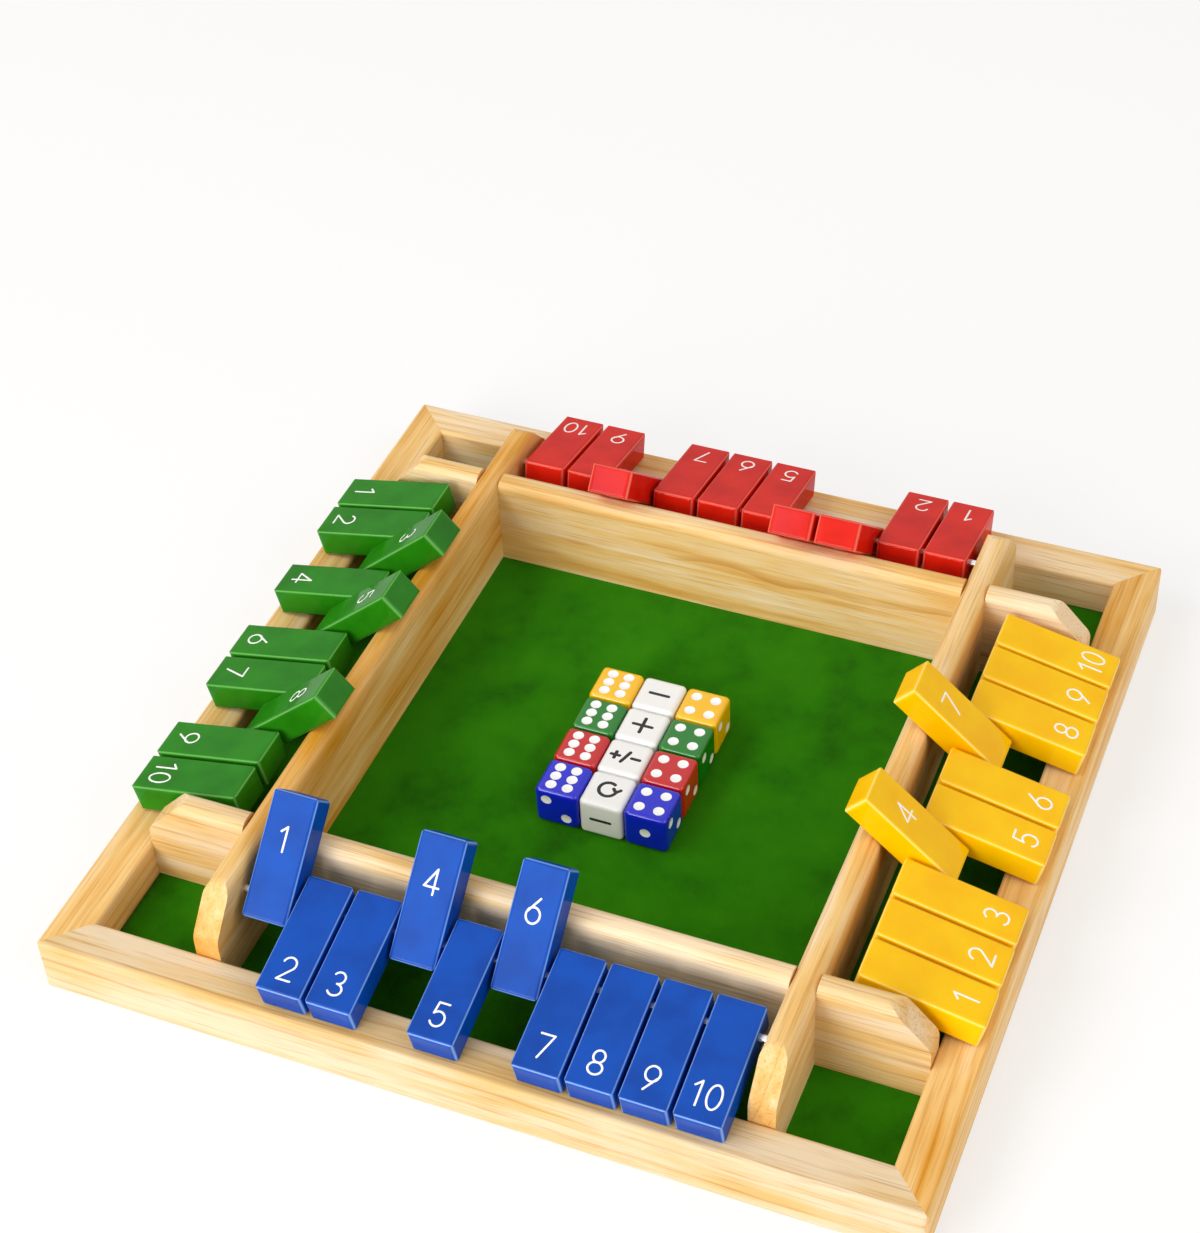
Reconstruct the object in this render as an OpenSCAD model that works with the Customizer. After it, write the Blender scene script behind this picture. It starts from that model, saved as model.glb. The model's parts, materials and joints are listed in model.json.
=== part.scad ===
// Four-player shut the box game: a square wooden board with a felted dice tray,
// ten number tiles hinged on a steel rod along each side, and twelve dice.
// Millimetres. Z is up. The origin is the centre of the board's underside, and
// the blue tiles are at the front, which faces -Y.

/* [Tiles] */
// Width of a tile, along its rod
tile_w = 16.4; // [15:0.1:18]
// Length of a tile, from its inner end to its outer end
tile_l = 43; // [40:0.5:45]
// Thickness of a tile
tile_t = 11; // [9:0.5:12]
// Distance from a tile's inner end to the axis of its rod
tile_pivot = 8.5; // [7:0.25:10]
// Gap between neighbouring tiles
tile_gap = 1.3; // [0.4:0.1:2]
// Gap between the last tile of a row and the wall beside it
row_gap = 3.15; // [1.5:0.05:4]
// Radius of a tile's corners, seen from above
tile_corner = 2; // [1:0.1:3]
// Radius of a tile's eased edges
tile_ease = 1.2; // [0.5:0.1:2]

/* [Walls] */
// Thickness of the walls and dividers
wall_t = 9; // [8:0.25:10]
// Height of the walls' tops above the table
wall_top = 44; // [41:0.5:48]
// Radius of the round-over along both top edges of a wall
wall_round = 3.5; // [2:0.25:3.75]
// Length of the clip at a wall's end, along the wall
clip_l = 13; // [8:0.5:15]
// Depth of the clip at a wall's end, below the wall's top
clip_d = 14; // [8:0.5:16]
// Radius that softens both corners of a clip
clip_soft = 6; // [2:0.5:8]

/* [Frame] */
// Clear width between a wall and the rail outside it
channel_w = 37.5; // [34:0.5:42]
// Width of a rail
rail_w = 15; // [12:0.5:20]
// Height of a rail
rail_h = 22; // [18:0.5:25]
// Radius of a rail's eased edges
rail_ease = 1.5; // [0.5:0.25:2.5]
// Radius of the frame's four outer corners, seen from above
frame_corner = 2; // [1:0.25:5]

/* [Floor] */
// Height of the floor panel's underside above the table
panel_z = 3; // [2.5:0.25:5]
// Thickness of the floor panel
panel_t = 3; // [2:0.25:4]
// Depth of the groove in the rails that holds the panel
groove_d = 4; // [3:0.25:6]
// Clearance between the panel and the groove's top and back
groove_clear = 0.2; // [0.1:0.05:0.4]
// Thickness of the felt
felt_t = 1; // [0.5:0.1:2]
// Clearance between the felt's edge and the rails
felt_clear = 0.2; // [0.1:0.05:0.5]

/* [Rods] */
// Diameter of a rod
rod_d = 3; // [2.5:0.1:4]
// Height of the rods' axes above the table
rod_z = 35; // [33:0.5:36]
// Distance from a wall's outer face to the axis of the rod beside it
rod_out = 16.5; // [14:0.5:18]
// Depth of the blind holes that hold a rod's ends
rod_seat = 6; // [4:0.5:7]
// Clearance between a rod's end and the bottom of its hole
rod_end_clear = 0.2; // [0.1:0.05:0.5]
// Radial clearance of a rod in its blind holes
rod_fit = 0.05; // [0.02:0.01:0.1]
// Radial clearance of a rod in the tiles' bores
rod_run = 0.08; // [0.04:0.01:0.1]

/* [Dice] */
// Width of a die
die_w = 16; // [14:0.5:18]
// Radius of a die's edges
die_ease = 1.6; // [1:0.1:2.5]
// Cut that the corner sphere takes off a die's corners
die_corner_cut = 1.6; // [1:0.1:2]
// Gap between neighbouring dice
die_gap = 0.5; // [0.3:0.1:3]

/* [Resting] */
// Clearance between a tile and the rail or wall that it rests on
rest_gap = 0.3; // [0.2:0.05:0.5]

/* [Hidden] */
$fn = 48;
side_names = ["blue", "yellow", "red", "green"];
side_colours = ["#1656BE", "#F8BE00", "#CC2418", "#3A8E22"];
tiles_per_side = 10;
// Rest of each side's tiles, from tile 1 to tile 10: U is up and d is down
rests = ["UddUdUdddd", "dddUddUddd", "ddUUdddUdd", "ddUdUddUdd"];
die_names = ["yellow", "green", "red", "blue", "white"];
die_colours = ["#F9B800", "#0A7A14", "#C81418", "#0A16C8", "#F6F6F4"];
pine = "#EDCB93";
rail_pine = "#F0D3A0";
die_columns = [-1, 0, 1];
soft_steps = 8;
// How far a cutting shape runs past the face that it cuts
past = 1;

tile_pitch = tile_w + tile_gap;
tray_w = tiles_per_side * tile_w + (tiles_per_side - 1) * tile_gap + 2 * row_gap;
wall_centre = (tray_w + wall_t) / 2;
walls_w = tray_w + 2 * wall_t;
inner_w = walls_w + 2 * channel_w;
board_w = inner_w + 2 * rail_w;
floor_z = panel_z + panel_t + felt_t;
wall_h = wall_top - floor_z;
rod_centre = walls_w / 2 + rod_out;
rod_l = tray_w + 2 * (rod_seat - rod_end_clear);
tile_free = tile_l - tile_pivot;

// A lowered tile slopes outwards until the lower edge of its outer end is over the rail
corner_reach = norm([tile_free, tile_t / 2]);
corner_angle = atan2(tile_t / 2, tile_free);
down_angle = asin((rod_z - rail_h - rest_gap) / corner_reach) - corner_angle;

// A raised tile leans inwards until its face is over the round-over on the wall's outer edge
round_offset = [rod_out + wall_round, wall_top - wall_round - rod_z];
lean_angle = atan2(round_offset.y, round_offset.x)
    + asin((tile_t / 2 + wall_round + rest_gap) / norm(round_offset));

function unit(v) = v / norm(v);

// Arc of radius r that rounds corner b on the way from a to c
function soften(a, b, c, r) =
    let (u = unit(a - b), v = unit(c - b), half = acos(u * v) / 2,
         centre = b + unit(u + v) * r / sin(half),
         start = b + u * r / tan(half) - centre,
         turn = 180 - 2 * half, from = atan2(start.y, start.x))
    [for (i = [0 : soft_steps]) centre + r * [cos(from + turn * i / soft_steps),
                                               sin(from + turn * i / soft_steps)]];

// Side view of a clipped wall's end at x = end, from its foot to its top
function clipped_end(end) =
    let (foot = [end, -past], low = [end, wall_h - clip_d], high = [end - clip_l, wall_h],
         inward = [end - 2 * clip_l, wall_h])
    concat([foot], soften(foot, low, high, clip_soft), soften(low, high, inward, clip_soft));

function mirrored(points) = [for (i = [len(points) - 1 : -1 : 0]) [-points[i].x, points[i].y]];

function is_raised(side, n) = rests[side][n - 1] == "U";

module rounded_rect(w, h, r) {
    square([w - 2 * r, h], center = true);
    square([w, h - 2 * r], center = true);
    for (x = [-1, 1], y = [-1, 1])
        translate([x * (w / 2 - r), y * (h / 2 - r)]) circle(r);
}

// Block centred on the origin, with rounded corners in plan and eased edges all round
module eased_block(w, l, t, corner, ease) {
    intersection() {
        linear_extrude(t + 2 * past, center = true) rounded_rect(w, l, corner);
        rotate([90, 0, 0]) linear_extrude(l + 2 * past, center = true) rounded_rect(w, t, ease);
        rotate([90, 0, 90]) linear_extrude(w + 2 * past, center = true) rounded_rect(l, t, ease);
    }
}

// Cross-section of a rail, with its groove, where it lies at the front
module rail_section() {
    difference() {
        translate([-(board_w - rail_w) / 2, rail_h / 2]) rounded_rect(rail_w, rail_h, rail_ease);
        translate([-inner_w / 2 - groove_d, panel_z])
            square([groove_d + past, panel_t + groove_clear]);
    }
}

// Rail with mitred ends: the front quarter of the frame, turned to its side
module rail(side) {
    color(rail_pine) rotate([0, 0, 90 * side]) intersection() {
        rotate([90, 0, 90]) linear_extrude(board_w + 2 * past, center = true) rail_section();
        translate([0, 0, -past]) linear_extrude(rail_h + 2 * past) intersection() {
            rounded_rect(board_w, board_w, frame_corner);
            polygon([[0, 0], [-board_w, -board_w], [board_w, -board_w]]);
        }
    }
}

module base_panel() {
    w = inner_w + 2 * (groove_d - groove_clear);
    color("#D9B27A") translate([-w / 2, -w / 2, panel_z]) cube([w, w, panel_t]);
}

module felt() {
    w = inner_w - 2 * felt_clear;
    color("#1E5A05") translate([-w / 2, -w / 2, panel_z + panel_t]) cube([w, w, felt_t]);
}

// Strip of wall along X, standing on z = 0, with its top edges rounded over
module wall_strip(l) {
    flat_w = wall_t - 2 * wall_round;
    rotate([90, 0, 90]) linear_extrude(l, center = true) {
        translate([-wall_t / 2, 0]) square([wall_t, wall_h - wall_round]);
        translate([-flat_w / 2, 0]) square([flat_w, wall_h]);
        for (side = [-1, 1])
            translate([side * flat_w / 2, wall_h - wall_round]) circle(wall_round);
    }
}

// Wall strip cut to a side view
module shaped_strip(l, outline) {
    intersection() {
        wall_strip(l + 2 * past);
        rotate([90, 0, 0]) linear_extrude(wall_t + 2 * past, center = true) polygon(outline);
    }
}

// Cutter for a blind hole that holds a rod's end, drilled along +X from x = 0
module rod_hole() {
    translate([-past, 0, 0]) rotate([0, 90, 0])
        cylinder(d = rod_d + 2 * rod_fit, h = rod_seat + past);
}

// Wall from the front rail to the back rail, clipped at both ends; side is -1 or 1
module long_wall(side) {
    end = clipped_end(inner_w / 2);
    color(pine) difference() {
        translate([side * wall_centre, 0, floor_z]) rotate([0, 0, 90])
            shaped_strip(inner_w, concat(end, mirrored(end)));
        for (y = [-rod_centre, rod_centre])
            translate([side * tray_w / 2, y, rod_z]) rotate([0, 0, side > 0 ? 0 : 180]) rod_hole();
    }
}

// Wall between the two long walls; side is -1 at the front and 1 at the back
module cross_wall(side) {
    color(pine) translate([0, side * wall_centre, floor_z]) wall_strip(tray_w);
}

// Divider from a long wall to the rail outside it, clipped at its outer end
module divider(x_side, y_side) {
    end = clipped_end(channel_w / 2);
    foot = [-channel_w / 2, -past];
    top = [-channel_w / 2, wall_h];
    color(pine) difference() {
        translate([x_side * (walls_w + channel_w) / 2, y_side * wall_centre, floor_z])
            rotate([0, 0, x_side > 0 ? 0 : 180])
                shaped_strip(channel_w, concat(end, [top, foot]));
        translate([x_side * rod_centre, y_side * tray_w / 2, rod_z])
            rotate([0, 0, 90 * y_side]) rod_hole();
    }
}

module rods() {
    color("silver") for (side = [0 : 3]) rotate([0, 0, 90 * side])
        translate([0, -rod_centre, rod_z]) rotate([0, 90, 0])
            cylinder(d = rod_d, h = rod_l, center = true);
}

// Tile with its bore on the X axis and its outer end towards -Y
module tile_blank() {
    difference() {
        translate([0, (tile_pivot - tile_free) / 2, 0])
            eased_block(tile_w, tile_l, tile_t, tile_corner, tile_ease);
        rotate([0, 90, 0])
            cylinder(d = rod_d + 2 * rod_run, h = tile_w + 2 * past, center = true);
    }
}

// Tile n of a side, on its rod, lowered or raised; tile 1 is at the player's left
module tile(side, n) {
    x = (n - (tiles_per_side + 1) / 2) * tile_pitch;
    angle = is_raised(side, n) ? lean_angle - 180 : down_angle;
    color(side_colours[side]) rotate([0, 0, 90 * side])
        translate([x, -rod_centre, rod_z]) rotate([angle, 0, 0]) tile_blank();
}

module die() {
    corner_reach = sqrt(3) * (die_w / 2 - die_ease) + sqrt(3) * die_ease / sqrt(2);
    intersection() {
        eased_block(die_w, die_w, die_w, die_ease, die_ease);
        sphere(corner_reach - die_corner_cut / 2);
    }
}

// Dice lie in rows of three, one row for each colour, with a white die in the middle
module dice(kind) {
    pitch = die_w + die_gap;
    rows = len(die_names) - 1;
    white = kind == rows;
    color(die_colours[kind])
        for (row = [0 : rows - 1], column = die_columns)
            if (white ? column == 0 : column != 0 && row == kind)
                translate([column * pitch, ((rows - 1) / 2 - row) * pitch, floor_z + die_w / 2]) die();
}

rail(0);  // rail_front
rail(1);  // rail_right
rail(2);  // rail_back
rail(3);  // rail_left
base_panel();
felt();
long_wall(-1);  // wall_left
long_wall(1);  // wall_right
cross_wall(-1);  // wall_front
cross_wall(1);  // wall_back
divider(-1, -1);  // divider_front_left
divider(1, -1);  // divider_front_right
divider(-1, 1);  // divider_back_left
divider(1, 1);  // divider_back_right
rods();
for (kind = [0 : len(die_names) - 1])
    dice(kind);
for (side = [0 : 3], n = [1 : tiles_per_side])
    tile(side, n);
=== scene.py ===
"""Finishes, painted numbers, felt and dice for a four-player shut the box game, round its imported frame."""

import json
import math

import bpy
import numpy as np
from mathutils import Matrix, Vector


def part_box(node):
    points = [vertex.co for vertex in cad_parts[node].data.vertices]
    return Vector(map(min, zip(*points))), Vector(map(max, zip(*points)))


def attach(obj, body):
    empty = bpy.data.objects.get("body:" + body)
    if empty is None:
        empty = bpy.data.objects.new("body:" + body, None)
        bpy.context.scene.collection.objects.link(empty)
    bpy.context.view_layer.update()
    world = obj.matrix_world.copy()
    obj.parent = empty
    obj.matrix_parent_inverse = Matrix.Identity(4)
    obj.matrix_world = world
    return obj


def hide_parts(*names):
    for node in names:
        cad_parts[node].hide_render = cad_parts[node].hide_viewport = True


MM = 0.001
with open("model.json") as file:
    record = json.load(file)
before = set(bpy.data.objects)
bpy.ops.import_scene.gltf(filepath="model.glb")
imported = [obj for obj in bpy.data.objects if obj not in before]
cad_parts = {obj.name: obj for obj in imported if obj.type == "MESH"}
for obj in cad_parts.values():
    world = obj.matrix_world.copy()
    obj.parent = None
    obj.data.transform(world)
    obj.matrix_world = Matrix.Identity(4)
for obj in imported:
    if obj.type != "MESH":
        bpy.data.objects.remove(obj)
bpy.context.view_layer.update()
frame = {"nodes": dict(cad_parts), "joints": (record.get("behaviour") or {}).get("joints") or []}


# Sizes of what is added to the frame, in metres

FELT_EDGE_CLEAR = 0.1 * MM
FELT_STEP = 2.5 * MM
FELT_NAP = 0.12 * MM
# The nap's waves along X and Y in radians to a metre, the slower waves that bend them, and how much they do
NAP_WAVES = (310, 270)
NAP_BENDING_WAVES = (170, 210)
NAP_BEND = (1.3, 1.1)

NUMBER_HEIGHT = 9.0 * MM
NUMBER_STROKE = 0.74 * MM
NUMBER_PAINT = 0.07 * MM
# Distance of a number's middle from the tile's outer end, on the face that is up when the tile is lowered
NUMBER_FROM_END = 9.2 * MM
# The same on the face that is up when the tile is raised
RAISED_NUMBER_FROM_END = 15.5 * MM

DIE_EDGE = 1.9 * MM
DIE_CELLS = 36
PIP_RADIUS = 1.95 * MM
PIP_DEPTH = 0.4 * MM
PIP_BLUR = 0.06 * MM
SIGN_HEIGHT = 7.6 * MM
SIGN_STROKE = 1.3 * MM

STROKE_STEP = 0.35 * MM
STROKE_SIDES = 8
# Where the rings round a stroke's half-round end lie, in degrees from its tip
STROKE_END_RINGS = (12, 40, 65)
ARC_POINTS = 33

# Pine: growth rings 5 mm apart that sway by 6 mm. The wave texture has a period of 2 pi / 20 at scale 1
WAVE_PERIOD = 2 * math.pi / 20
PINE_RING = 5 * MM
PINE_SWAY = 6 * MM
# Waves to a metre, along and across the grain: the sway, the honey clouds, the streaks and the fibres
PINE_WANDER = (7, 25, 25)
PINE_CLOUD = (13, 70, 70)
PINE_STREAK = (8, 340, 340)
PINE_FIBRE = (40, 1600, 1600)
# How high the fibres stand
PINE_FIBRE_HEIGHT = 0.06 * MM
# A board's rings go round a pith to its side and below it, which strays from board to board, and each board
# comes from another length of the tree than the one before it
PITH_SIDE = 0.045
PITH_BELOW = 0.06
PITH_STRAY = 0.02
BOARD_SHIFT = 0.37

# The other patterns' waves to a metre, and how high they stand
PAINT_CLOUDS = 70
PAINT_FLOW = 140
PAINT_FLOW_HEIGHT = 0.3 * MM
PAINT_SCUFFS = 480
PRINT_SPECKS = 900
FELT_CLOUDS = 45
FELT_FIBRES = 1900
FELT_FIBRE_HEIGHT = 0.3 * MM
STEEL_LINES = 1200
PLASTIC_HAZE = 150


# Colours

PINE_LIGHT, PINE_MID, PINE_AMBER, PINE_DARK = "#FAE2BD", "#F3CA84", "#DE982A", "#AC650C"
PINE_LINE, PINE_END = "#CC8E3C", "#DB9A3E"
# Each side's paint, its deeper clouds, and the paler colour of the highlight painted on its rounded edges
TILE_COLOURS = {"blue": ("#074CB2", "#06419E", "#84B0F2"), "yellow": ("#FFCA00", "#FCBC00", "#FFE788"),
                "red": ("#E22210", "#CC180A", "#F07C68"), "green": ("#288410", "#1F740A", "#70B858")}
DIE_COLOURS = {"yellow": "#FCC200", "green": "#077A12", "red": "#C91317", "blue": "#0710D0",
               "white": "#F4F4F2"}


def linear(hex_colour):
    """An sRGB hex colour as linear RGBA."""
    values = [int(hex_colour[i : i + 2], 16) / 255 for i in (1, 3, 5)]
    return [v / 12.92 if v <= 0.04045 else ((v + 0.055) / 1.055) ** 2.4 for v in values] + [1.0]


# Materials

def node(tree, kind, inputs=None, stops=None, **settings):
    """Adds a shader node.

    Inputs are values, or sockets to link, and stops are a ramp's pairs of a place and a hex colour.
    """
    made = tree.nodes.new(kind)
    for key, value in settings.items():
        setattr(made, key, value)
    for key, value in (inputs or {}).items():
        if isinstance(value, bpy.types.NodeSocket):
            tree.links.new(value, made.inputs[key])
        else:
            made.inputs[key].default_value = value
    if stops:
        elements = made.color_ramp.elements
        while len(elements) < len(stops):
            elements.new(0.5)
        for element, (place, colour) in zip(elements, stops):
            element.position = place
            element.color = linear(colour)
    return made


def new_material(name):
    """A material with only a Principled shader and its output, as (material, tree, shader)."""
    material = bpy.data.materials.new(name)
    material.use_nodes = True
    tree = material.node_tree
    return material, tree, tree.nodes["Principled BSDF"]


GRAIN_AXES = {"x": (1, 0, 0), "y": (0, 1, 0)}
GRAIN_TURNS = {"x": 0, "y": -math.pi / 2}


def pine(name, grain, board, painted_shade, pith):
    """Planed pine under a clear satin lacquer.

    Growth rings are shells round a pith that runs along the grain outside the piece, so a face cut along
    them shows long lines and an end shows curved ones. The lines are thin and fade in places. Honey-coloured
    clouds, soft streaks and fine fibres run the same way. End grain has drunk more lacquer and is darker. A
    board above 0 is more amber than most, and one below 0 is paler. That is partly the board's own colour
    and partly painted shade: boards that stand in shade are made more amber, and lit ones paler. The painted
    shade factor is 1, or less on a brightly lit board, which it paints darker.
    """
    material, tree, shader = new_material(name)
    coordinates = node(tree, "ShaderNodeTexCoord")
    place = coordinates.outputs["Object"]
    along = node(tree, "ShaderNodeMapping", {"Vector": place, "Rotation": (0, 0, GRAIN_TURNS[grain]),
                                             "Location": pith})
    # The rings wander by a few millimetres over a hand's width
    slow = node(tree, "ShaderNodeVectorMath", {0: along.outputs[0], 1: PINE_WANDER}, operation="MULTIPLY")
    wander = node(tree, "ShaderNodeTexNoise", {"Vector": slow.outputs[0], "Scale": 1, "Detail": 2})
    centred = node(tree, "ShaderNodeVectorMath", {0: wander.outputs["Color"], 1: (0.5, 0.5, 0.5)},
                   operation="SUBTRACT")
    shift = node(tree, "ShaderNodeVectorMath", {0: centred.outputs[0], 1: (0, PINE_SWAY, PINE_SWAY)},
                 operation="MULTIPLY")
    bent = node(tree, "ShaderNodeVectorMath", {0: along.outputs[0], 1: shift.outputs[0]}, operation="ADD")
    rings = node(tree, "ShaderNodeTexWave", {"Vector": bent.outputs[0], "Scale": WAVE_PERIOD / PINE_RING,
                                             "Distortion": 1.2, "Detail": 2.0, "Detail Scale": 0.3},
                 wave_type="RINGS", rings_direction="X", wave_profile="SAW")
    cloud_place = node(tree, "ShaderNodeVectorMath", {0: bent.outputs[0], 1: PINE_CLOUD},
                       operation="MULTIPLY")
    clouds = node(tree, "ShaderNodeTexNoise", {"Vector": cloud_place.outputs[0], "Scale": 1, "Detail": 3,
                                               "Roughness": 0.55})
    streak_place = node(tree, "ShaderNodeVectorMath", {0: bent.outputs[0], 1: PINE_STREAK},
                        operation="MULTIPLY")
    streaks = node(tree, "ShaderNodeTexNoise", {"Vector": streak_place.outputs[0], "Scale": 1, "Detail": 3})
    # Late wood is the last sixth of a ring, and shows where the clouds are warm
    late_wood = node(tree, "ShaderNodeMapRange", {"Value": rings.outputs["Fac"], "From Min": 0.84,
                                                  "From Max": 0.98, "To Min": 0.0, "To Max": 0.6})
    showing = node(tree, "ShaderNodeMapRange", {"Value": clouds.outputs["Fac"], "From Min": 0.4,
                                                "From Max": 0.58})
    lines = node(tree, "ShaderNodeMath", {0: late_wood.outputs[0], 1: showing.outputs[0]},
                 operation="MULTIPLY")
    warmth = node(tree, "ShaderNodeMix", {0: 0.4, 2: clouds.outputs["Fac"], 3: streaks.outputs["Fac"]})
    # The board shifts the colour stops. This is partly painted shade: boards in shade are made more amber
    wood = node(tree, "ShaderNodeValToRGB", {"Fac": warmth.outputs[0]},
                stops=[(0.36 - board, PINE_LIGHT), (0.53 - board, PINE_MID), (0.75 - board, PINE_AMBER),
                       (0.98 - board, PINE_DARK)])
    lined = node(tree, "ShaderNodeMix", {0: lines.outputs[0], 6: wood.outputs["Color"],
                                         7: linear(PINE_LINE)}, data_type="RGBA")
    facing_end = node(tree, "ShaderNodeVectorMath", {0: coordinates.outputs["Normal"], 1: GRAIN_AXES[grain]},
                      operation="DOT_PRODUCT")
    endness = node(tree, "ShaderNodeMath", {0: facing_end.outputs["Value"]}, operation="ABSOLUTE")
    end_grain = node(tree, "ShaderNodeMapRange", {"Value": endness.outputs[0], "From Min": 0.5,
                                                  "From Max": 0.95, "To Min": 0.0, "To Max": 0.35})
    drunk = node(tree, "ShaderNodeMix", {0: end_grain.outputs[0], 6: lined.outputs[2],
                                         7: linear(PINE_END)}, data_type="RGBA")
    fine = node(tree, "ShaderNodeVectorMath", {0: along.outputs[0], 1: PINE_FIBRE}, operation="MULTIPLY")
    fibres = node(tree, "ShaderNodeTexNoise", {"Vector": fine.outputs[0], "Scale": 1, "Detail": 3})
    fibre_mix = node(tree, "ShaderNodeMapRange", {"Value": fibres.outputs["Fac"], "From Min": 0.52,
                                                  "From Max": 0.74, "To Min": 0.0, "To Max": 0.42})
    streaked = node(tree, "ShaderNodeMix", {0: fibre_mix.outputs[0], 6: drunk.outputs[2],
                                            7: linear(PINE_DARK)}, data_type="RGBA")
    # Painted shade: the whole colour is scaled down on brightly lit boards
    darkened = node(tree, "ShaderNodeVectorMath", {0: streaked.outputs[2], "Scale": painted_shade}, operation="SCALE")
    tree.links.new(darkened.outputs[0], shader.inputs["Base Color"])
    rough = node(tree, "ShaderNodeMapRange", {"Value": fibres.outputs["Fac"], "To Min": 0.42, "To Max": 0.6})
    tree.links.new(rough.outputs[0], shader.inputs["Roughness"])
    bump = node(tree, "ShaderNodeBump", {"Height": fibres.outputs["Fac"], "Distance": PINE_FIBRE_HEIGHT,
                                         "Strength": 0.5})
    tree.links.new(bump.outputs[0], shader.inputs["Normal"])
    shader.inputs["Specular IOR Level"].default_value = 0.1
    shader.inputs["Coat Weight"].default_value = 0.1
    shader.inputs["Coat Roughness"].default_value = 0.22
    return material


def gloss_paint(name, colour, deep, edge_highlight, axes):
    """Gloss enamel sprayed on wood, with a paler highlight painted along the rounded edges.

    The colour clouds faintly, the paint has flowed into waves, and scuffs dull it in places. The axes are
    the block's own three directions: where the surface faces none of them, it is on a rounded edge.
    """
    material, tree, shader = new_material(name)
    coordinates = node(tree, "ShaderNodeTexCoord")
    place = coordinates.outputs["Object"]
    squareness = None
    for axis in axes:
        along = node(tree, "ShaderNodeVectorMath", {0: coordinates.outputs["Normal"], 1: axis},
                     operation="DOT_PRODUCT")
        size = node(tree, "ShaderNodeMath", {0: along.outputs["Value"]}, operation="ABSOLUTE").outputs[0]
        if squareness:
            size = node(tree, "ShaderNodeMath", {0: squareness, 1: size}, operation="MAXIMUM").outputs[0]
        squareness = size
    # Painted highlight: on the rounded edges the paint is mixed towards a paler colour
    edge = node(tree, "ShaderNodeMapRange", {"Value": squareness, "From Min": 0.9, "From Max": 0.72,
                                             "To Min": 0.0, "To Max": 0.85})
    clouds = node(tree, "ShaderNodeTexNoise", {"Vector": place, "Scale": PAINT_CLOUDS, "Detail": 3})
    tint = node(tree, "ShaderNodeValToRGB", {"Fac": clouds.outputs["Fac"]},
                stops=[(0.3, deep), (0.62, colour)])
    highlighted = node(tree, "ShaderNodeMix", {0: edge.outputs[0], 6: tint.outputs["Color"], 7: linear(edge_highlight)},
                data_type="RGBA")
    tree.links.new(highlighted.outputs[2], shader.inputs["Base Color"])
    # Scuffs about 2 mm apart
    scuffs = node(tree, "ShaderNodeTexNoise", {"Vector": place, "Scale": PAINT_SCUFFS, "Detail": 4})
    rough = node(tree, "ShaderNodeMapRange", {"Value": scuffs.outputs["Fac"], "From Min": 0.4,
                                              "From Max": 0.75, "To Min": 0.28, "To Max": 0.38})
    tree.links.new(rough.outputs[0], shader.inputs["Roughness"])
    # The paint flowed into waves about 7 mm from crest to crest
    flow = node(tree, "ShaderNodeTexNoise", {"Vector": place, "Scale": PAINT_FLOW, "Detail": 2})
    bump = node(tree, "ShaderNodeBump", {"Height": flow.outputs["Fac"], "Distance": PAINT_FLOW_HEIGHT,
                                         "Strength": 0.5})
    tree.links.new(bump.outputs[0], shader.inputs["Normal"])
    # The clear outer layer gives all of the gloss
    shader.inputs["Specular IOR Level"].default_value = 0.0
    shader.inputs["Coat Weight"].default_value = 0.4
    shader.inputs["Coat Roughness"].default_value = 0.07
    return material


def number_paint(name, colour):
    """Pad-printed paint: an even coat with a soft gloss."""
    material, tree, shader = new_material(name)
    place = node(tree, "ShaderNodeTexCoord").outputs["Object"]
    specks = node(tree, "ShaderNodeTexNoise", {"Vector": place, "Scale": PRINT_SPECKS, "Detail": 2})
    rough = node(tree, "ShaderNodeMapRange", {"Value": specks.outputs["Fac"], "To Min": 0.3, "To Max": 0.5})
    tree.links.new(rough.outputs[0], shader.inputs["Roughness"])
    shader.inputs["Base Color"].default_value = linear(colour)
    return material


def wool_felt(name, colour, light, deep):
    """Needled wool felt: soft clouds where the nap lies differently, and short fibres in every direction."""
    material, tree, shader = new_material(name)
    place = node(tree, "ShaderNodeTexCoord").outputs["Object"]
    clouds = node(tree, "ShaderNodeTexNoise", {"Vector": place, "Scale": FELT_CLOUDS, "Detail": 4,
                                               "Roughness": 0.6})
    lie = node(tree, "ShaderNodeValToRGB", {"Fac": clouds.outputs["Fac"]},
               stops=[(0.3, deep), (0.5, colour), (0.75, light)])
    # Fibres drawn about 0.5 mm wide, coarser than wool, so that they show
    fibres = node(tree, "ShaderNodeTexNoise", {"Vector": place, "Scale": FELT_FIBRES, "Detail": 3,
                                               "Distortion": 1.5})
    fibre_mix = node(tree, "ShaderNodeMapRange", {"Value": fibres.outputs["Fac"], "From Min": 0.4,
                                                  "From Max": 0.7, "To Min": 0.0, "To Max": 0.3})
    mixed = node(tree, "ShaderNodeMix", {0: fibre_mix.outputs[0], 6: lie.outputs["Color"],
                                         7: linear(light)}, data_type="RGBA")
    tree.links.new(mixed.outputs[2], shader.inputs["Base Color"])
    bump = node(tree, "ShaderNodeBump", {"Height": fibres.outputs["Fac"], "Distance": FELT_FIBRE_HEIGHT,
                                         "Strength": 0.6})
    tree.links.new(bump.outputs[0], shader.inputs["Normal"])
    shader.inputs["Roughness"].default_value = 0.95
    shader.inputs["Specular IOR Level"].default_value = 0.05
    shader.inputs["Sheen Weight"].default_value = 0.03
    shader.inputs["Sheen Roughness"].default_value = 0.5
    return material


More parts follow.
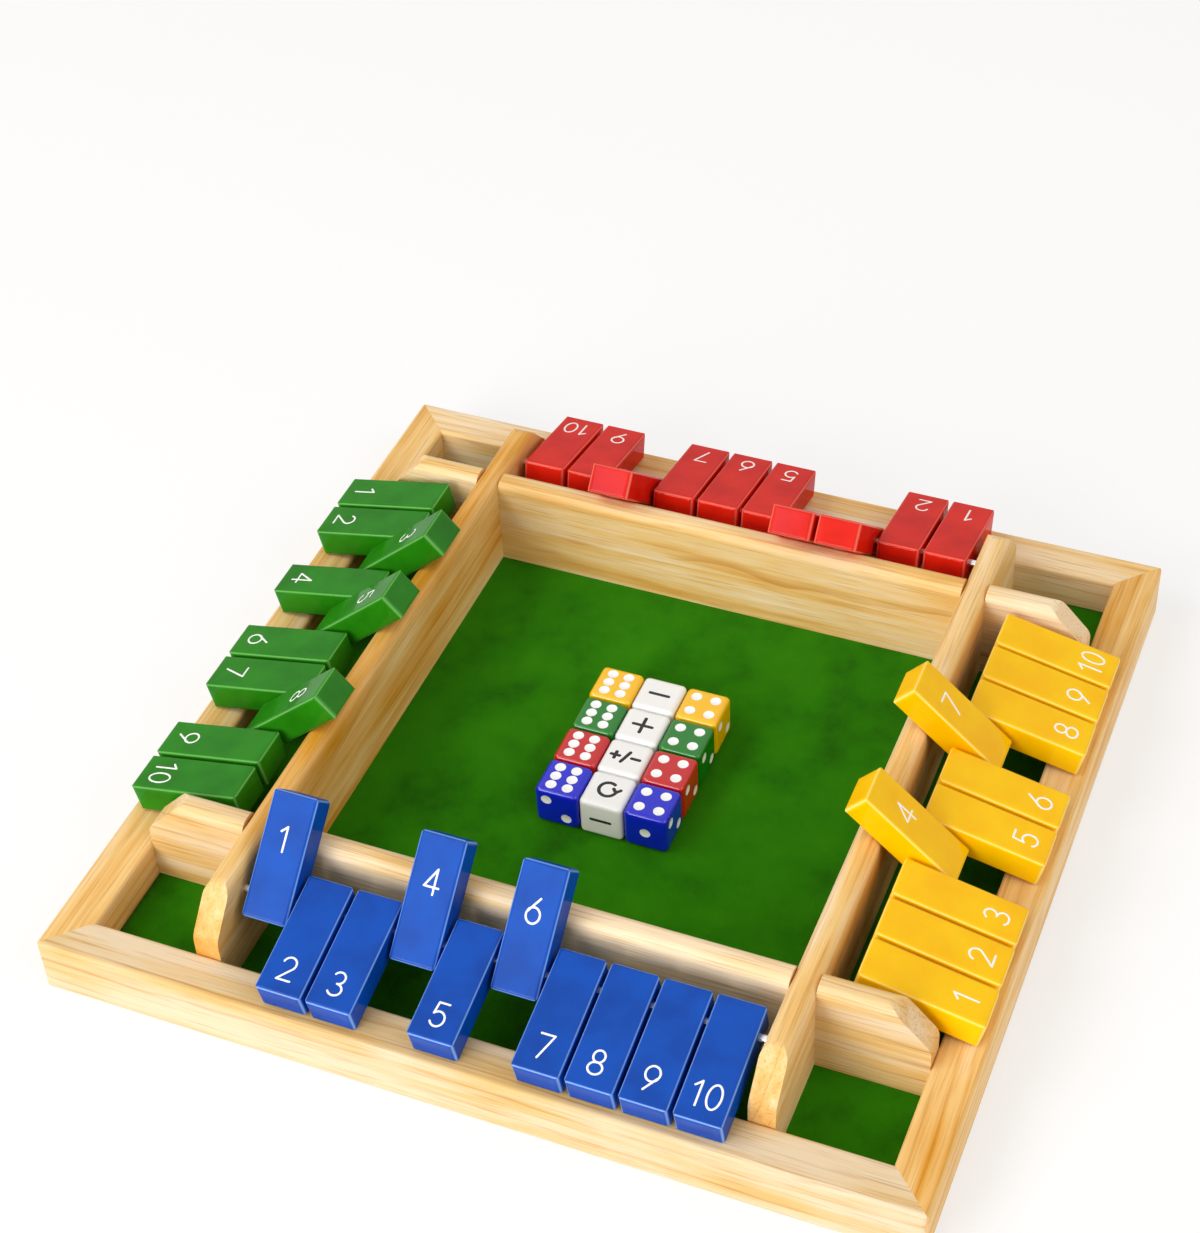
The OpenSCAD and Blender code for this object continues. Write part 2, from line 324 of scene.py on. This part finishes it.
def drawn_steel(name):
    """Bright drawn steel rod: clean metal with faint draw lines along it."""
    material, tree, shader = new_material(name)
    place = node(tree, "ShaderNodeTexCoord").outputs["Object"]
    lines = node(tree, "ShaderNodeTexNoise", {"Vector": place, "Scale": STEEL_LINES, "Detail": 2})
    rough = node(tree, "ShaderNodeMapRange", {"Value": lines.outputs["Fac"], "To Min": 0.16, "To Max": 0.34})
    tree.links.new(rough.outputs[0], shader.inputs["Roughness"])
    shader.inputs["Base Color"].default_value = linear("#F2F3F4")
    shader.inputs["Metallic"].default_value = 1.0
    return material


def die_plastic(name, colour, pip):
    """Polished acrylic-like urea plastic, with painted pips where the pip attribute is positive."""
    material, tree, shader = new_material(name)
    depth = node(tree, "ShaderNodeAttribute", attribute_name="pip")
    inside = node(tree, "ShaderNodeMapRange", {"Value": depth.outputs["Fac"], "From Min": -PIP_BLUR,
                                               "From Max": PIP_BLUR})
    place = node(tree, "ShaderNodeTexCoord").outputs["Object"]
    haze = node(tree, "ShaderNodeTexNoise", {"Vector": place, "Scale": PLASTIC_HAZE, "Detail": 2})
    rough = node(tree, "ShaderNodeMapRange", {"Value": haze.outputs["Fac"], "To Min": 0.08, "To Max": 0.2})
    tree.links.new(rough.outputs[0], shader.inputs["Roughness"])
    both = node(tree, "ShaderNodeMix", {0: inside.outputs[0], 6: linear(colour), 7: linear(pip)},
                data_type="RGBA")
    tree.links.new(both.outputs[2], shader.inputs["Base Color"])
    shader.inputs["Coat Weight"].default_value = 0.3
    shader.inputs["Coat Roughness"].default_value = 0.05
    return material


# Meshes

def piece(name, vertices, faces, material, body, slot):
    """A smoothly shaded mesh object at the origin that rides on a body."""
    mesh = bpy.data.meshes.new(name)
    mesh.from_pydata(np.asarray(vertices).tolist(), [], [list(map(int, face)) for face in faces])
    mesh.polygons.foreach_set("use_smooth", [True] * len(mesh.polygons))
    mesh.materials.append(material)
    mesh.update()
    made = bpy.data.objects.new(name, mesh)
    bpy.context.scene.collection.objects.link(made)
    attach(made, body)
    return made


def grid_faces(rows, columns, start=0):
    """Quads over a grid of rows x columns vertices that is numbered row by row."""
    index = start + np.arange(rows * columns).reshape(rows, columns)
    quads = np.stack([index[:-1, :-1], index[:-1, 1:], index[1:, 1:], index[1:, :-1]], axis=-1)
    return quads.reshape(-1, 4)


# Strokes of numbers and signs, in units of the figure's height, from its lower left corner

def arc(x, y, rx, ry, start, end):
    """Points along an ellipse with centre x, y and radii rx, ry, from one angle to another, in degrees."""
    angle = np.radians(np.linspace(start, end, ARC_POINTS))
    return np.stack([x + rx * np.cos(angle), y + ry * np.sin(angle)], axis=1)


def line(*points):
    """Points of a straight stroke."""
    return np.array(points, float)


DIGITS = {
    "0": [arc(0.31, 0.5, 0.25, 0.46, 90, 450)],
    "1": [line((0.14, 0.76), (0.36, 0.96)), line((0.36, 0.96), (0.36, 0.04))],
    "2": [np.concatenate([arc(0.31, 0.7, 0.25, 0.26, 165, -35), line((0.06, 0.05))]),
          line((0.06, 0.05), (0.58, 0.05))],
    "3": [arc(0.29, 0.73, 0.22, 0.23, 150, -90), arc(0.29, 0.27, 0.26, 0.23, 90, -150)],
    "4": [line((0.44, 0.96), (0.05, 0.3)), line((0.05, 0.3), (0.61, 0.3)), line((0.44, 0.96), (0.44, 0.04))],
    "5": [line((0.54, 0.95), (0.15, 0.95)), line((0.15, 0.95), (0.1, 0.52)),
          np.concatenate([line((0.1, 0.52)), arc(0.3, 0.33, 0.26, 0.29, 128, -150)])],
    "6": [np.concatenate([line((0.46, 0.95)), arc(0.31, 0.32, 0.26, 0.29, 165, 510)])],
    "7": [line((0.06, 0.95), (0.57, 0.95)), line((0.57, 0.95), (0.22, 0.04))],
    "8": [arc(0.31, 0.72, 0.21, 0.23, -90, 270), arc(0.31, 0.27, 0.26, 0.23, 90, 450)],
    "9": [np.concatenate([line((0.16, 0.05)), arc(0.31, 0.68, 0.26, 0.29, -15, 330)])],
}
# From one digit's left edge to the next one's, which is less after the 1 of 10
DIGIT_ADVANCE = 0.66
ONE_ADVANCE = 0.6

SIGNS = {
    "minus": [line((0.04, 0.5), (0.96, 0.5))],
    "plus": [line((0.04, 0.5), (0.96, 0.5)), line((0.5, 0.04), (0.5, 0.96))],
    "either": [line((-0.2, 0.5), (0.2, 0.5)), line((0.0, 0.3), (0.0, 0.7)), line((0.38, 0.16), (0.62, 0.84)),
               line((0.8, 0.5), (1.2, 0.5))],
    "again": [arc(0.5, 0.5, 0.42, 0.42, 60, 350), line((0.91, 0.43), (0.74, 0.62)),
              line((0.91, 0.43), (1.08, 0.62))],
}


def stroke(points, width, thickness):
    """A brush stroke with round ends.

    The middle line is resampled evenly and lengthened by half a width at both ends. Round it runs a flat
    ellipse, whose size follows a half circle over the first and last half width.
    """
    radius = width / 2
    first, last = points[0] - points[1], points[-1] - points[-2]
    points = np.concatenate([[points[0] + radius * first / np.linalg.norm(first)], points,
                             [points[-1] + radius * last / np.linalg.norm(last)]])
    along = np.concatenate([[0], np.cumsum(np.linalg.norm(np.diff(points, axis=0), axis=1))])
    body_places = np.linspace(radius, along[-1] - radius, max(3, int(along[-1] / STROKE_STEP)))
    ends = radius * (1 - np.cos(np.radians(STROKE_END_RINGS)))
    places = np.concatenate([ends, body_places, along[-1] - ends[::-1]])
    middle = np.stack([np.interp(places, along, points[:, k]) for k in (0, 1)], axis=1)
    tangent = np.gradient(middle, places, axis=0)
    tangent /= np.linalg.norm(tangent, axis=1, keepdims=True)
    normal = np.stack([-tangent[:, 1], tangent[:, 0]], axis=1)
    from_end = np.clip(np.minimum(places, along[-1] - places), 0, radius)
    swell = np.sqrt(1 - (1 - from_end / radius) ** 2)
    turn = 2 * np.pi * np.arange(STROKE_SIDES) / STROKE_SIDES
    across = radius * swell[:, None] * np.cos(turn)
    flat = middle[:, None, :] + across[..., None] * normal[:, None, :]
    height = thickness * swell[:, None] * np.sin(turn)
    vertices = np.concatenate([flat, height[..., None]], axis=2).reshape(-1, 3)
    rings = len(places)
    ring = np.arange(STROKE_SIDES)
    wrapped = np.concatenate([ring, [0]])
    index = np.arange(rings)[:, None] * STROKE_SIDES + wrapped
    quads = np.stack([index[:-1, :-1], index[1:, :-1], index[1:, 1:], index[:-1, 1:]], axis=-1).reshape(-1, 4)
    caps = [ring, (rings - 1) * STROKE_SIDES + ring[::-1]]
    return vertices, [list(face) for face in quads] + [list(face) for face in caps]


def figure(strokes, width, height, stroke_width, centre, right, up):
    """Strokes of one figure, width times height in size, laid on a plane through centre."""
    out = np.cross(right, up)
    vertices, faces, count = [], [], 0
    for points in strokes:
        scaled = (points - [width / 2, 0.5]) * height
        local, local_faces = stroke(scaled, stroke_width, NUMBER_PAINT)
        vertices.append(centre + local[:, :1] * right + local[:, 1:2] * up + local[:, 2:] * out)
        faces += [[i + count for i in face] for face in local_faces]
        count += len(local)
    return np.concatenate(vertices), faces


def number_strokes(number):
    """Strokes of a number's digits side by side, and the number's width."""
    strokes, x = [], 0.0
    for digit in str(number):
        strokes += [points + [x, 0] for points in DIGITS[digit]]
        x += ONE_ADVANCE if digit == "1" and number > 9 else DIGIT_ADVANCE
    return strokes, x


def joined(parts):
    """One list of vertices and one of faces from several."""
    vertices, faces, count = [], [], 0
    for part_vertices, part_faces in parts:
        vertices.append(part_vertices)
        faces += [[i + count for i in face] for face in part_faces]
        count += len(part_vertices)
    return np.concatenate(vertices), faces


def node_points(name):
    """A CAD node's vertices."""
    mesh = frame["nodes"][name].data
    points = np.empty(len(mesh.vertices) * 3)
    mesh.vertices.foreach_get("co", points)
    return points.reshape(-1, 3)


def tile_frame(name, joint):
    """Where a tile is and how it is turned.

    The middle of its bore, its directions to the right, to its outer end and out of the face that is up when
    it is lowered, and how far it reaches from the bore in the last two.
    """
    pivot = np.array(joint["pos_m"])
    right = -np.array(joint["axis"], float)
    low, high = (np.array(corner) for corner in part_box(name))
    outward = (low + high) / 2 - pivot
    outward -= right * (outward @ right)
    outward /= np.linalg.norm(outward)
    face = np.cross(outward, right)
    points = node_points(name) - pivot
    middle = pivot + right * (((low + high) / 2 - pivot) @ right)
    return middle, right, outward, face, (points @ outward).max(), (points @ face).max()


# Finishes

# Each wooden piece's grain direction, how amber its board is, which is partly painted shade, and its painted
# shade factor, which paints the brightly lit front rail and front dividers darker
WOODEN = {"rail_front": ("x", -0.06, 0.84), "rail_back": ("x", -0.04, 1), "rail_left": ("y", 0.05, 1),
          "rail_right": ("y", 0.06, 1), "wall_left": ("y", 0.12, 1), "wall_right": ("y", 0.02, 1),
          "wall_front": ("x", -0.09, 1), "wall_back": ("x", 0.01, 1),
          "divider_front_left": ("x", 0.0, 0.94), "divider_front_right": ("x", -0.03, 0.94),
          "divider_back_left": ("x", -0.02, 1), "divider_back_right": ("x", -0.12, 1),
          "base_panel": ("x", 0.05, 1)}


def give(name, material):
    """Gives a CAD node its finish."""
    mesh = frame["nodes"][name].data
    mesh.materials.clear()
    mesh.materials.append(material)


for order, (name, (grain, board, painted_shade)) in enumerate(WOODEN.items()):
    pith = (BOARD_SHIFT * order, PITH_SIDE + PITH_STRAY * math.sin(5 * order),
            -PITH_BELOW - PITH_STRAY * math.cos(3 * order))
    give(name, pine(name + "_pine", grain, board, painted_shade, pith))
give("rods", drawn_steel("steel"))
white_print = number_paint("white_print", "#FBFBF8")
black_print = number_paint("black_print", "#161616")


# Painted numbers, on both faces of each tile

TILES_PER_SIDE = 10
joint_of = {joint["child"]: joint for joint in frame["joints"]}
# A side's raised tiles are turned otherwise than its lowered ones, so the two have an enamel each
enamels = {}


def paint_tile(side, number):
    """Gives a tile its enamel, and paints its number on both of its wide faces."""
    name = f"tile_{side}_{number}"
    middle, right, outward, face, reach, half = tile_frame(name, joint_of[name])
    rest = "raised" if face[2] < 0 else "lowered"
    if (side, rest) not in enamels:
        axes = (right, outward, face)
        enamels[side, rest] = gloss_paint(f"{side}_enamel_{rest}", *TILE_COLOURS[side], axes)
    give(name, enamels[side, rest])
    strokes, width = number_strokes(number)
    lowered = middle + outward * (reach - NUMBER_FROM_END) + face * half
    turned = middle + outward * (reach - RAISED_NUMBER_FROM_END) - face * half
    shapes = [figure(strokes, width, NUMBER_HEIGHT, NUMBER_STROKE, lowered, right, -outward),
              figure(strokes, width, NUMBER_HEIGHT, NUMBER_STROKE, turned, right, outward)]
    piece(f"number_{side}_{number}", *joined(shapes), white_print, name, f"tile_{side}")


for side in TILE_COLOURS:
    for number in range(1, TILES_PER_SIDE + 1):
        paint_tile(side, number)


# Felt on the floor panel

def felt_sheet():
    """A thin closed sheet: an even grid above and below, whose upper side waves by the depth of the nap."""
    low, high = (np.array(corner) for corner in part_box("felt"))
    low[:2] += FELT_EDGE_CLEAR
    high[:2] -= FELT_EDGE_CLEAR
    count = int((high[0] - low[0]) / FELT_STEP) + 1
    x, y = np.meshgrid(np.linspace(low[0], high[0], count), np.linspace(low[1], high[1], count),
                       indexing="ij")
    wave_x = np.sin(NAP_WAVES[0] * x + NAP_BEND[0] * np.sin(NAP_BENDING_WAVES[0] * y))
    wave_y = np.sin(NAP_WAVES[1] * y + NAP_BEND[1] * np.sin(NAP_BENDING_WAVES[1] * x))
    upper = np.stack([x, y, high[2] + FELT_NAP * (wave_x * wave_y - 1) / 2], axis=-1).reshape(-1, 3)
    lower = np.stack([x, y, np.full_like(x, low[2])], axis=-1).reshape(-1, 3)
    index = np.arange(count * count).reshape(count, count)
    rim = np.concatenate([index[:-1, 0], index[-1, :-1], index[:0:-1, -1], index[0, :0:-1]])
    onward = np.roll(rim, -1)
    edge = np.stack([rim, rim + count * count, onward + count * count, onward], axis=-1)
    below = grid_faces(count, count, count * count)
    faces = np.concatenate([grid_faces(count, count)[:, ::-1], below, edge])
    return np.concatenate([upper, lower]), faces, high[:2] - low[:2]


felt_vertices, felt_faces, felt_cut = felt_sheet()
green_felt = wool_felt("green_felt", "#297802", "#348405", "#1D5E02")
cloth = piece("felt_cloth", felt_vertices, felt_faces, green_felt, "board", "felt")
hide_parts("felt")


# Dice

PIPS = {
    1: [(0, 0)],
    2: [(-1, 1), (1, -1)],
    3: [(-1, 1), (0, 0), (1, -1)],
    4: [(-1, 1), (1, 1), (-1, -1), (1, -1)],
    5: [(-1, 1), (1, 1), (0, 0), (-1, -1), (1, -1)],
    6: [(-0.85, 1.2), (0.85, 1.2), (-0.85, 0), (0.85, 0), (-0.85, -1.2), (0.85, -1.2)],
}
PIP_SPACING = 3.6 * MM
# Each face of a die as its right, up and outward directions: top, front, right, back, left, bottom
DIE_FACES = [((1, 0, 0), (0, 1, 0), (0, 0, 1)), ((1, 0, 0), (0, 0, 1), (0, -1, 0)),
             ((0, 1, 0), (0, 0, 1), (1, 0, 0)), ((-1, 0, 0), (0, 0, 1), (0, 1, 0)),
             ((0, -1, 0), (0, 0, 1), (-1, 0, 0)), ((1, 0, 0), (0, -1, 0), (0, 0, -1))]
# Pips on those faces: opposite faces add up to seven
FACES_WITH_SIX_UP = [6, 2, 3, 5, 4, 1]
FACES_WITH_FOUR_UP = [4, 1, 2, 6, 5, 3]
# What the white dice show on top, from the back of the tray to the front
SIGN_ORDER = ["minus", "plus", "either", "again"]


def die(centre, width, numbers):
    """A rounded cube with hollow pips.

    Each face is an even grid on the cube. A point is moved onto the ball of the edge radius round the
    nearest point of a smaller cube, and inwards where it lies in a pip. The pip attribute is the distance
    inside the nearest pip's rim.
    """
    half = width / 2
    even = np.linspace(-half, half, DIE_CELLS + 1)
    u, v = np.meshgrid(even, even, indexing="ij")
    vertices, faces, inside = [], [], []
    for order, directions in enumerate(DIE_FACES):
        right, up, out = (np.array(direction, float) for direction in directions)
        spots = np.array(PIPS[numbers[order]]) * PIP_SPACING if numbers else np.zeros((0, 2))
        rim = np.full(u.shape, -half)
        for spot in spots:
            rim = np.maximum(rim, PIP_RADIUS - np.hypot(u - spot[0], v - spot[1]))
        cube = u[..., None] * right + v[..., None] * up + half * out
        core = np.clip(cube, DIE_EDGE - half, half - DIE_EDGE)
        away = cube - core
        away /= np.linalg.norm(away, axis=-1, keepdims=True)
        dent = PIP_DEPTH * np.sqrt(np.clip(rim / PIP_RADIUS, 0, 1))
        points = core + DIE_EDGE * away - dent[..., None] * out
        vertices.append(centre + points.reshape(-1, 3))
        faces.append(grid_faces(DIE_CELLS + 1, DIE_CELLS + 1, order * u.size))
        inside.append(rim.ravel())
    return np.concatenate(vertices), np.concatenate(faces), np.concatenate(inside)


def dice_piece(kind, centres, width, numbers, material):
    """The dice of one colour as one piece, with the seams between their faces merged."""
    parts, rims = [], []
    for centre, up in zip(centres, numbers):
        vertices, faces, inside = die(centre, width, up)
        parts.append((vertices, faces))
        rims.append(inside)
    made = piece(f"{kind}_dice", *joined(parts), material, f"dice_{kind}", f"die_{kind}")
    pip = made.data.attributes.new("pip", "FLOAT", "POINT")
    pip.data.foreach_set("value", np.concatenate(rims))
    weld = made.modifiers.new("weld", "WELD")
    weld.merge_threshold = 0.01 * MM
    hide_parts(f"dice_{kind}")


def white_signs(centres, width):
    """The signs on the white dice: they go round each die's faces, and each die starts with the next one."""
    shapes = []
    for order, centre in enumerate(centres):
        for turn, directions in enumerate(DIE_FACES):
            right, up, out = (np.array(direction, float) for direction in directions)
            strokes = SIGNS[SIGN_ORDER[(order + turn) % len(SIGN_ORDER)]]
            middle = centre + out * width / 2
            shapes.append(figure(strokes, 1.0, SIGN_HEIGHT, SIGN_STROKE, middle, right, up))
    piece("dice_signs", *joined(shapes), black_print, "dice_white", "die_white")


for kind, colour in DIE_COLOURS.items():
    low, high = (np.array(corner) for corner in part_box(f"dice_{kind}"))
    width = high[2] - low[2]
    first, last = low + width / 2, high - width / 2
    if kind == "white":
        centres = np.linspace(last, first, len(SIGN_ORDER))
        numbers = [None] * len(SIGN_ORDER)
        white_signs(centres, width)
    else:
        centres = [first, last]
        numbers = [FACES_WITH_SIX_UP, FACES_WITH_FOUR_UP]
    dice_piece(kind, centres, width, numbers, die_plastic(f"{kind}_plastic", colour, "#FFFFFF"))


# Floor, light and camera

FLOOR_REACH = 6.0
# Strength of the room's own light on the object, where 1 is white
ROOM_LIGHT = 0.52
# Share of plain white in what the camera and reflections see of the floor
FLOOR_GLOW = 0.6


def seen_or_mirrored(tree):
    """A socket that is 1 where the camera, a reflection or something seen through glass meets the surface."""
    path = node(tree, "ShaderNodeLightPath")
    mirrored = node(tree, "ShaderNodeMath", {0: path.outputs["Is Glossy Ray"],
                                             1: path.outputs["Is Transmission Ray"]}, operation="ADD")
    seen = node(tree, "ShaderNodeMath", {0: path.outputs["Is Camera Ray"], 1: mirrored.outputs[0]},
                operation="ADD")
    return seen.outputs[0]


def studio_floor():
    """A wide white floor that looks evenly lit, seen or mirrored, and still has the board's shadow."""
    mesh = bpy.data.meshes.new("floor")
    mesh.from_pydata([(-FLOOR_REACH, -FLOOR_REACH, 0), (FLOOR_REACH, -FLOOR_REACH, 0),
                      (FLOOR_REACH, FLOOR_REACH, 0), (-FLOOR_REACH, FLOOR_REACH, 0)], [], [(0, 1, 2, 3)])
    material, tree, shader = new_material("white_floor")
    shader.inputs["Base Color"].default_value = linear("#FDFDFD")
    shader.inputs["Roughness"].default_value = 0.9
    shader.inputs["Specular IOR Level"].default_value = 0.1
    share = node(tree, "ShaderNodeMath", {0: seen_or_mirrored(tree), 1: FLOOR_GLOW}, operation="MULTIPLY")
    glow = node(tree, "ShaderNodeEmission", {"Color": (1, 1, 1, 1), "Strength": 1.0})
    both = node(tree, "ShaderNodeMixShader", {0: share.outputs[0], 1: shader.outputs[0],
                                              2: glow.outputs[0]})
    tree.links.new(both.outputs[0], tree.nodes["Material Output"].inputs["Surface"])
    mesh.materials.append(material)
    floor = bpy.data.objects.new("floor", mesh)
    bpy.context.scene.collection.objects.link(floor)


def soft_light(name, place, size, power, colour="#FFFFFF"):
    """A square area light that faces the board."""
    lamp = bpy.data.lights.new(name, "AREA")
    lamp.color = linear(colour)[:3]
    lamp.size = size
    lamp.energy = power
    holder = bpy.data.objects.new(name, lamp)
    bpy.context.scene.collection.objects.link(holder)
    holder.rotation_mode = "QUATERNION"
    holder.rotation_quaternion = (-Vector(place)).to_track_quat("-Z", "Y")
    holder.location = place


studio_floor()
soft_light("key", place=(-1.6, -0.95, 2.1), size=1.4, power=21)
soft_light("front", place=(-0.7, -2.05, 0.85), size=1.2, power=31)
# A small cool lamp that the paint's gloss shows as a highlight
soft_light("window", place=(-0.78, -1.56, 1.5), size=0.5, power=2, colour="#B0D0FF")
soft_light("side", place=(1.9, -0.4, 1.5), size=1.6, power=14)

# The room's light is a little warm, but what is seen or mirrored of the room is plain white
world = bpy.data.worlds.new("studio")
world.use_nodes = True
sky = world.node_tree
sky.nodes["Background"].inputs["Color"].default_value = linear("#FFFAF2")
sky.nodes["Background"].inputs["Strength"].default_value = ROOM_LIGHT
seen_white = node(sky, "ShaderNodeBackground", {"Color": (1, 1, 1, 1), "Strength": 1.0})
chosen = node(sky, "ShaderNodeMixShader", {0: seen_or_mirrored(sky), 1: sky.nodes["Background"].outputs[0],
                                           2: seen_white.outputs[0]})
sky.links.new(chosen.outputs[0], sky.nodes["World Output"].inputs["Surface"])
bpy.context.scene.world = world

# The photograph's view, worked out from the board's corners at its 305 mm width
CAMERA_PLACE = (0.24678, -0.57642, 0.66099)
CAMERA_RIGHT = (0.92667, 0.37378, -0.03956)
CAMERA_DOWN = (0.22671, -0.63977, -0.73437)
CAMERA_FORWARD = (-0.29980, 0.67155, -0.67760)
FOCAL_PIXELS = 2542.9
PHOTO_HEIGHT = 1233
SENSOR_WIDTH = 36

camera_data = bpy.data.cameras.new("camera")
camera_data.sensor_width = SENSOR_WIDTH
camera_data.lens = FOCAL_PIXELS / PHOTO_HEIGHT * SENSOR_WIDTH
camera = bpy.data.objects.new("camera", camera_data)
bpy.context.scene.collection.objects.link(camera)
facing = Matrix([CAMERA_RIGHT, [-v for v in CAMERA_DOWN], [-v for v in CAMERA_FORWARD]]).transposed()
camera.matrix_world = Matrix.Translation(CAMERA_PLACE) @ facing.to_4x4()
bpy.context.scene.camera = camera
bpy.context.scene.view_settings.view_transform = "Standard"
